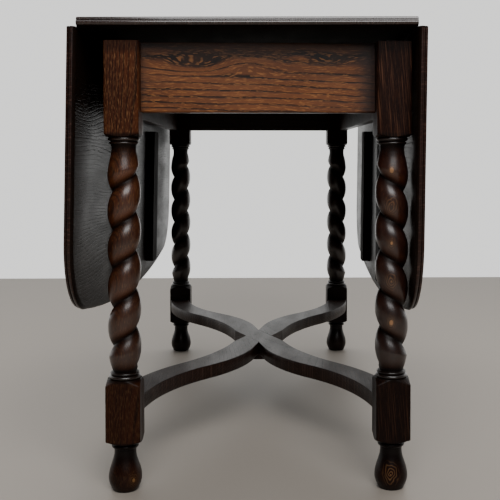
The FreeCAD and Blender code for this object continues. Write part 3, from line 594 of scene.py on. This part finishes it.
inner_wood = oak_material("inner_wood", "X", rgb(120, 84, 56), rgb(90, 60, 40), heart=(0.1, 0.6),
                          ring_width=0.006, seed=5.5, line_strength=0.5, gloss=(0.6, 0.75), coat=0.0)
finish_node("pivot_cross_rail", inner_wood)

# Stretcher: two sawn boards with snaking edges, half-lapped where they cross and tenoned into the
# lower blocks. Feet have worn the upper faces smooth, and the sawn edges show pale upright rays.

# Levels in metres below which rays show: a millimetre under the stretcher's upper face, or everywhere
STRETCHER_SIDES, ALL_LEVELS = 0.1425, 10.0


def make_end_rays():
    """Fine pale rays across a sawn or moulded edge, drawn out along one axis, below a level."""
    n, given, result = new_group(
        "end rays",
        {"Color": "Color", "Place": "Vector", "Stretch": "Vector", "Pale": "Color", "Below": "Float"},
        {"Color": "Color"})
    fine = n.noise(n.vector("MULTIPLY", given["Place"], given["Stretch"]), 1.0, detail=1.0)
    fade = n.math("SUBTRACT", given["Below"], 0.001)
    low = n.span(n.split(given["Place"])[2], fade, given["Below"], 1.0, 0.0)
    share = n.math("MULTIPLY", n.span(fine, 0.55, 0.66), low)
    return n.finish(result, {"Color": n.mix(share, given["Color"], given["Pale"])})


end_rays = make_end_rays()


def ray_dress(stretch, pale, below=ALL_LEVELS):
    """The rays of an edge. Stretch is their fineness along each axis."""
    def dress(n, spot, colour):
        rays = n.group(end_rays, {"Color": colour, "Place": spot, "Stretch": stretch, "Pale": pale,
                                  "Below": below})
        return {"Base Color": rays["Color"]}
    return dress


stretcher_oak = oak_material("stretcher_oak", "Y", rgb(34, 17, 11), rgb(18, 9, 6), heart=(0.05, 0.02),
                             slope=0.05, ring_width=0.005, wander=0.02, seed=2.2, line_strength=0.8,
                             fleck=rgb(74, 50, 36), fleck_strength=0.5, gloss=(0.36, 0.46), shine=0.12,
                             coat=0.1, relief=0.0005,
                             dress=ray_dress((340.0, 340.0, 8.0), rgb(58, 40, 33), STRETCHER_SIDES))
for name in ("lower_stretcher", "upper_stretcher", "stretcher_block"):
    finish_node(name, stretcher_oak)

# Top: the fixed middle board, with the bearers and the cleat that carry it on the frame, and the bolt
# that it turns on. The board's upper face is polished, its ends are moulded, and its underside is bare,
# with its colour darkened almost to black as painted shade on every face that looks down.

TOP_WOOD = {"heart": (0.0, 0.55), "wander": 0.03, "seed": 6.1}
top_oak = oak_material("top_oak", "Y", rgb(66, 36, 24), rgb(40, 21, 14), slope=0.01, ring_width=0.009,
                       gloss=(0.29, 0.33), coat=0.4, **TOP_WOOD)
# The underside's colour is near black as painted shade
underside_shade_oak = oak_material("underside_shade_oak", "Y", rgb(12, 7, 5), rgb(8, 4, 3), slope=0.01, ring_width=0.009,
                        fleck_strength=0.1, gloss=(0.8, 0.9), shine=0.05, coat=0.0, **TOP_WOOD)
top_end_oak = oak_material("top_end_oak", "Y", rgb(44, 22, 15), rgb(26, 13, 9), ring_width=0.004,
                           fleck_strength=0.0, gloss=(0.2, 0.26), shine=0.4, coat=0.9, polish=0.12,
                           dress=ray_dress((600.0, 60.0, 60.0), rgb(64, 50, 45)), **TOP_WOOD)
TOP_TURN = Matrix.Rotation(math.radians(-1.77), 4, "Z")
TOP_HALF_WIDTH, TOP_HALF_LENGTH = 263.595, 560
UNDERSIDE = 738.3
PIN_X, PIN_Z = 263.675, 738.25
HINGE_Y, HINGE_LENGTH, HINGE_WIDTH, HINGE_PLATE = 358.4, 60, 30, 2

# Radius of a hinge's barrel, the play cut round it, and how far a cutter passes beyond the board
BARREL, PLAY, CLEAR = 3.5, 0.4, 5

# The moulding, as height above the underside and distance in from the edge: a hollow-backed thumb, a
# quirk, and a rounded upper member that runs into the polished face
MOULDING = [(0, 7.5), (0.8, 5.2), (2, 3), (3.2, 1.5), (4.4, 0.5), (5.4, 0.05), (6.2, 0.1), (7.2, 0.45),
            (8.2, 1.05), (9, 1.9), (9.3, 3.3), (9.9, 3.4), (10.4, 2.7), (11.2, 2.25), (12.2, 2.45),
            (13.2, 2.8), (14.1, 3.2), (14.7, 3.8), (15, 4.6)]
SQUARE_EDGE = [(0, 0), (12.8, 0), (13.9, 0.35), (14.7, 1.1), (15, 2.2)]
BOARD_HEIGHTS = sorted({height for height, inset in MOULDING + SQUARE_EDGE})
MOULDING_SHARP = 28


def edge_inset(profile, height):
    """The inset of a moulding profile at a height."""
    for (low, first), (high, second) in zip(profile, profile[1:]):
        if low <= height <= high:
            return first + (second - first) * (height - low) / (high - low)
    return profile[-1][1]


def box_mesh(name, low, high):
    """A cutter between two corners."""
    corners = [(low[0], low[1]), (high[0], low[1]), (high[0], high[1]), (low[0], high[1])]
    return ring_mesh(name, [[(x, y, z) for x, y in corners] for z in (low[2], high[2])])


def rod_mesh(name, x, z, low, high, radius):
    """A cutter along Y."""
    turns = [2 * math.pi * i / 24 for i in range(24)]
    return ring_mesh(name, [[(x + radius * math.cos(a), y, z + radius * math.sin(a)) for a in turns]
                            for y in (high, low)])


def hinge_gains(side, across, height):
    """Cutters for the gains of one side's two hinges: a flat for the plate, a groove for the barrel."""
    cutters = []
    low_x, high_x = sorted(side * x for x in across)
    for end in (-1, 1):
        low_y, high_y = end * HINGE_Y - HINGE_LENGTH / 2, end * HINGE_Y + HINGE_LENGTH / 2
        cutters.append(box_mesh("plate_gain", (low_x, low_y, height[0]), (high_x, high_y, height[1])))
        cutters.append(rod_mesh("barrel_gain", side * PIN_X, PIN_Z, low_y - PLAY, high_y + PLAY,
                                BARREL + PLAY))
    return cutters


def cut_away(piece, cutters):
    """Cuts hinge gains out of a board and keeps the result as its mesh."""
    tools = [new_piece(mesh.name, mesh) for mesh in cutters]
    for tool in tools:
        modifier = piece.modifiers.new(tool.name, "BOOLEAN")
        modifier.operation = "DIFFERENCE"
        modifier.solver = "EXACT"
        modifier.object = tool
    bpy.context.view_layer.update()
    graph = bpy.context.evaluated_depsgraph_get()
    piece.data = bpy.data.meshes.new_from_object(piece.evaluated_get(graph))
    piece.modifiers.clear()

    # A cutter's object goes with its mesh
    for mesh in cutters:
        bpy.data.meshes.remove(mesh)
    smooth(piece.data, MOULDING_SHARP)
    return piece.data


rings = []
for height in BOARD_HEIGHTS:
    x = TOP_HALF_WIDTH - edge_inset(SQUARE_EDGE, height)
    y = TOP_HALF_LENGTH - edge_inset(MOULDING, height)
    rings.append([(sx * x, sy * y, UNDERSIDE + height) for sx, sy in ((-1, -1), (1, -1), (1, 1), (-1, 1))])
top = new_piece("top_board_moulded", ring_mesh("top_board_moulded", rings))
cutters = []
for side in (-1, 1):
    cutters += hinge_gains(side, (PIN_X - HINGE_WIDTH, TOP_HALF_WIDTH + CLEAR),
                           (UNDERSIDE - CLEAR, UNDERSIDE + HINGE_PLATE))
mesh = cut_away(top, cutters)
mesh.transform(TOP_TURN)
for oak in (top_oak, underside_shade_oak, top_end_oak):
    mesh.materials.append(oak)
for face in mesh.polygons:
    # Faces that look down take the underside's painted shade
    face.material_index = 1 if face.normal.z < -0.8 else 2 if abs(face.normal.y) > 0.3 else 0
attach(top, "top")
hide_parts("top_board")

for name in ("front_top_bearer", "back_top_bearer", "pivot_cleat"):
    finish_node(name, inner_wood)


def make_steel_bloom():
    """Dulled steel with fine scratches and a brown bloom."""
    n, given, result = new_group(
        "steel bloom", {"Place": "Vector", "Steel": "Color", "Polish": "Float"},
        {"Color": "Color", "Roughness": "Float", "Height": "Float"})
    bloom = n.noise(given["Place"], 160.0, detail=4.0)
    scratch = n.noise(given["Place"], (300.0, 2400.0, 2400.0))
    colour = n.mix(n.span(bloom, 0.45, 0.7), given["Steel"], rgb(70, 44, 30))
    dull = n.span(bloom, 0.3, 0.7, given["Polish"], n.math("ADD", given["Polish"], 0.2))
    rough = n.math("ADD", dull, n.math("MULTIPLY", scratch, 0.1))
    return n.finish(result, {"Color": colour, "Roughness": rough, "Height": scratch})


steel_bloom = make_steel_bloom()


def steel_material(name, colour, polish):
    """Steel by its colour and its roughness where it is cleanest."""
    material, n = new_material(name)
    spot = n.add("TexCoord").outputs["Object"]
    steel = n.group(steel_bloom, {"Place": spot, "Steel": colour, "Polish": polish})
    bump = n.add("Bump", {"Strength": 0.3, "Distance": 0.00005, "Height": steel["Height"]})
    shader = n.add("BsdfPrincipled", {"Base Color": steel["Color"], "Roughness": steel["Roughness"],
                                      "Metallic": 1.0, "Normal": bump.outputs[0]})
    n.add("OutputMaterial", {"Surface": shader.outputs[0]})
    return material


bolt_steel = steel_material("bolt_steel", rgb(120, 116, 110), 0.4)
for name in ("pivot_bolt", "pivot_washer", "pivot_nut"):
    finish_node(name, bolt_steel, edge=0)

# The thread on the bolt's tail, below the nut, fades in at its lower end
THREAD_PITCH, THREAD_LOW, THREAD_HIGH = 1.75, 679.6, 685
THREAD_ROOT, THREAD_DEPTH = 5.8, 0.6
turns = [2 * math.pi * i / 36 for i in range(36)]
rows = []
for i in range(33):
    level = THREAD_LOW + (THREAD_HIGH - THREAD_LOW) * i / 32
    depth = THREAD_DEPTH * min(1, i / 4)
    waves = [0.5 + 0.5 * math.cos(2 * math.pi * level / THREAD_PITCH - a) for a in turns]
    rows.append((level, [THREAD_ROOT + depth * wave for wave in waves]))
thread = new_piece("pivot_bolt_thread", ring_mesh("pivot_bolt_thread", turned_rings(turns, rows)))
smooth(thread.data, 60)
thread.data.materials.append(bolt_steel)
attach(thread, "top")

# Leaves: two boards hung on butt hinges, with bowed lower edges, round corners and two battens each
# across the inner face. The outer faces are polished like the top. The inner faces are only stained,
# and their colour is darkened as painted shade, as is that of the battens, which are near black.

LEAF_WOOD = {"wander": 0.03, "seed": 7.4}
leaf_oak = oak_material("leaf_oak", "Y", rgb(66, 36, 24), rgb(40, 21, 14), heart=(0.45, 0.5), slope=0.01,
                        ring_width=0.009, gloss=(0.3, 0.34), coat=0.35, **LEAF_WOOD)
# The inner faces' colour is darkened as painted shade
leaf_inner_oak = oak_material("leaf_inner_oak", "Y", rgb(22, 14, 11), rgb(13, 8, 6), heart=(0.0, 0.95),
                              ring_width=0.0056, wander=0.06, seed=7.4, line_strength=0.9,
                              fleck_strength=0.15, gloss=(0.31, 0.39), shine=0.12, coat=0.0,
                              relief=0.0006)
leaf_end_oak = oak_material("leaf_end_oak", "Y", rgb(42, 20, 14), rgb(22, 10, 8), heart=(0.0, 0.95),
                            ring_width=0.004, fleck_strength=0.0, gloss=(0.3, 0.4), coat=0.2,
                            dress=ray_dress((60.0, 60.0, 420.0), rgb(68, 44, 36)), **LEAF_WOOD)
# The battens' colour is near black as painted shade
batten_oak = oak_material("batten_oak", "Z", rgb(14, 8, 6), rgb(9, 5, 4), heart=(0.1, 0.1),
                          ring_width=0.006, seed=8.3, fleck_strength=0.1, gloss=(0.75, 0.85),
                          shine=0.1, coat=0.0)
hinge_steel = steel_material("hinge_steel", rgb(84, 78, 72), 0.45)
LEAF_DEPTH, BOW_RADIUS, CORNER_RADIUS = 490, 3120, 122
LEAF_FACE, LEAF_HEAD = 263.62, 738.32
LEAN = {"left": math.radians(1.2), "right": math.radians(0.7)}


def leaf_outline(inset, top_inset):
    """The leaf's outline as points in length and height, drawn in by an inset."""
    half, corner, bow = TOP_HALF_LENGTH - inset, CORNER_RADIUS - inset, BOW_RADIUS - inset
    foot = LEAF_HEAD - LEAF_DEPTH + inset
    centre_y = half - corner
    rise = math.asin(centre_y / (bow - corner))
    centre_z = foot + bow - (bow - corner) * math.cos(rise)
    angles = [-rise + 2 * rise * i / 12 for i in range(13)]
    lower = [(bow * math.sin(a), foot + bow - bow * math.cos(a)) for a in angles]
    turns = [rise + (math.pi / 2 - rise) * i / 18 for i in range(1, 19)]
    right = [(centre_y + corner * math.sin(a), centre_z - corner * math.cos(a)) for a in turns]
    left = [(-y, z) for y, z in reversed(right)]
    head = LEAF_HEAD - top_inset
    return left + lower + right + [(half, head), (-half, head)]


# Screw heads on a hinge plate: places along the plate and away from the pin. Each is a disc with two
# half discs on it, which leave the slot between them
SCREW_PLACES = ((-21, 15), (0, 21), (21, 15))
SCREW_RADIUS, SCREW_SLOT, SCREW_EDGE = 3.6, 0.45, (0.1, 0.35)
SCREW_SEAT, SCREW_FLOOR, SCREW_TOP = -0.4, 0.05, 0.45


def screw_heads(name, body, matrix):
    """Three slotted heads on a plate. Their local X runs along the hinge, Y away from the pin, Z out."""
    reach = math.asin(SCREW_SLOT / SCREW_RADIUS)
    outlines = [([2 * math.pi * i / 28 for i in range(28)], SCREW_SEAT, SCREW_FLOOR)]
    for start in (0, math.pi):
        turns = [start + reach + (math.pi - 2 * reach) * i / 14 for i in range(15)]
        outlines.append((turns, SCREW_FLOOR, SCREW_TOP))
    heads = bmesh.new()
    for along, away in SCREW_PLACES:
        for turns, low, high in outlines:
            levels = ((low, SCREW_RADIUS), (high - SCREW_EDGE[0], SCREW_RADIUS),
                      (high, SCREW_RADIUS - SCREW_EDGE[1]))
            part = ring_mesh(name, [[(along + radius * math.cos(a), away + radius * math.sin(a), level)
                                     for a in turns] for level, radius in levels])
            heads.from_mesh(part)
            bpy.data.meshes.remove(part)
    mesh = bpy.data.meshes.new(name)
    heads.to_mesh(mesh)
    heads.free()
    mesh.transform(matrix)
    mesh.materials.append(hinge_steel)
    screws = new_piece(name, mesh)
    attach(screws, body)


SMALL = Matrix.Diagonal((MM, MM, MM, 1))

for side, way in (("left", -1), ("right", 1)):
    rings = []
    for height in BOARD_HEIGHTS:
        outline = leaf_outline(edge_inset(MOULDING, height), edge_inset(SQUARE_EDGE, height))
        rings.append([(way * (LEAF_FACE + height), -way * y, z) for y, z in outline])
    leaf = new_piece(side + "_leaf_moulded", ring_mesh(side + "_leaf_moulded", rings))
    mesh = cut_away(leaf, hinge_gains(way, (LEAF_FACE - CLEAR, LEAF_FACE + HINGE_PLATE),
                                      (PIN_Z - HINGE_WIDTH, LEAF_HEAD + CLEAR)))
    pin = Vector((way * PIN_X, 0, PIN_Z)) * MM
    hang = Matrix.Translation(pin) @ Matrix.Rotation(LEAN[side], 4, "Y") @ Matrix.Translation(-pin)
    mesh.transform(TOP_TURN @ hang)
    for oak in (leaf_oak, leaf_inner_oak, leaf_end_oak):
        mesh.materials.append(oak)
    for face in mesh.polygons:
        inner = way * face.normal.x < -0.45
        face.material_index = 1 if inner else 2 if abs(face.normal.x) < 0.9 else 0
    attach(leaf, side + "_drop_leaf")
    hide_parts(side + "_leaf")
    for end, along in (("front", -HINGE_Y), ("back", HINGE_Y)):
        # The top's screws look down from its underside, the leaf's look in from its inner face
        under = Matrix(((0, -way, 0, way * PIN_X), (-way, 0, 0, along), (0, 0, -1, UNDERSIDE), (0, 0, 0, 1)))
        inward = Matrix(((0, 0, -way, way * LEAF_FACE), (way, 0, 0, along), (0, -1, 0, PIN_Z), (0, 0, 0, 1)))
        screw_heads("%s_%s_hinge_top_screws" % (side, end), "top", TOP_TURN @ SMALL @ under)
        screw_heads("%s_%s_hinge_leaf_screws" % (side, end), side + "_drop_leaf",
                    TOP_TURN @ hang @ SMALL @ inward)
        finish_node("%s_leaf_%s_batten" % (side, end), batten_oak)
        for piece in ("top_plate", "leaf_plate", "pin"):
            finish_node("%s_%s_hinge_%s" % (side, end, piece), hinge_steel, edge=0)

# View: a plain pale floor, soft light from above and from the front, and the camera where the
# photograph was taken, low and close in front of the table's end.

FLOOR_REACH, FLOOR_BACK = 9.0, 1.92
floor_mesh = bpy.data.meshes.new("floor")
corners = [(-FLOOR_REACH, -FLOOR_REACH, 0), (FLOOR_REACH, -FLOOR_REACH, 0),
           (FLOOR_REACH, FLOOR_BACK, 0), (-FLOOR_REACH, FLOOR_BACK, 0)]
floor_mesh.from_pydata(corners, [], [(0, 1, 2, 3)])
pale, n = new_material("pale_floor")
shader = n.add("BsdfPrincipled", {"Base Color": rgb(160, 151, 141), "Roughness": 0.55})
n.add("OutputMaterial", {"Surface": shader.outputs[0]})
floor_mesh.materials.append(pale)
new_piece("floor", floor_mesh)

# Light comes mostly from behind the table, and little from behind the camera
world = bpy.data.worlds.new("studio")
bpy.context.scene.world = world
world.use_nodes = True
n = Nodes(world.node_tree)
toward = n.split(n.add("TexCoord").outputs["Generated"])
backdrop = world.node_tree.nodes["Background"]
backdrop.inputs["Color"].default_value = (1.0, 1.0, 0.985, 1)
world.node_tree.links.new(n.span(toward[1], -0.3, 0.85, 0.02, 1.25), backdrop.inputs["Strength"])


def soft_light(name, place, target, size, power):
    """A square softbox aimed at a point."""
    light = bpy.data.lights.new(name, "AREA")
    light.size = size
    light.energy = power
    lamp = new_piece(name, light)
    lamp.location = place
    lamp.rotation_euler = (Vector(target) - Vector(place)).to_track_quat("-Z", "Y").to_euler()


soft_light("overhead", place=(0.0, 0.6, 3.0), target=(0, 0, 0.3), size=2.4, power=30)
soft_light("front", place=(0.3, -2.4, 2.3), target=(0, -0.4, 0.6), size=1.9, power=72)

# The camera's frame was fitted to the photograph's 500 by 500 pixels
PIXELS, SENSOR = 500, 36
FOCAL_PIXELS = 865.7
CENTRE_PIXEL = (279.0, 181.2)
CAMERA_PLACE = (1.3, -1894.4, 538.8)
CAMERA_DIP, CAMERA_TURN = math.radians(1.68), math.radians(1.31)
camera_data = bpy.data.cameras.new("camera")
camera_data.sensor_width = SENSOR
camera_data.lens = FOCAL_PIXELS * SENSOR / PIXELS
camera_data.shift_x = (PIXELS / 2 - CENTRE_PIXEL[0]) / PIXELS
camera_data.shift_y = (CENTRE_PIXEL[1] - PIXELS / 2) / PIXELS
camera = new_piece("camera", camera_data)
camera.location = Vector(CAMERA_PLACE) * MM
camera.rotation_euler = (math.pi / 2 - CAMERA_DIP, 0, -CAMERA_TURN)
bpy.context.scene.camera = camera
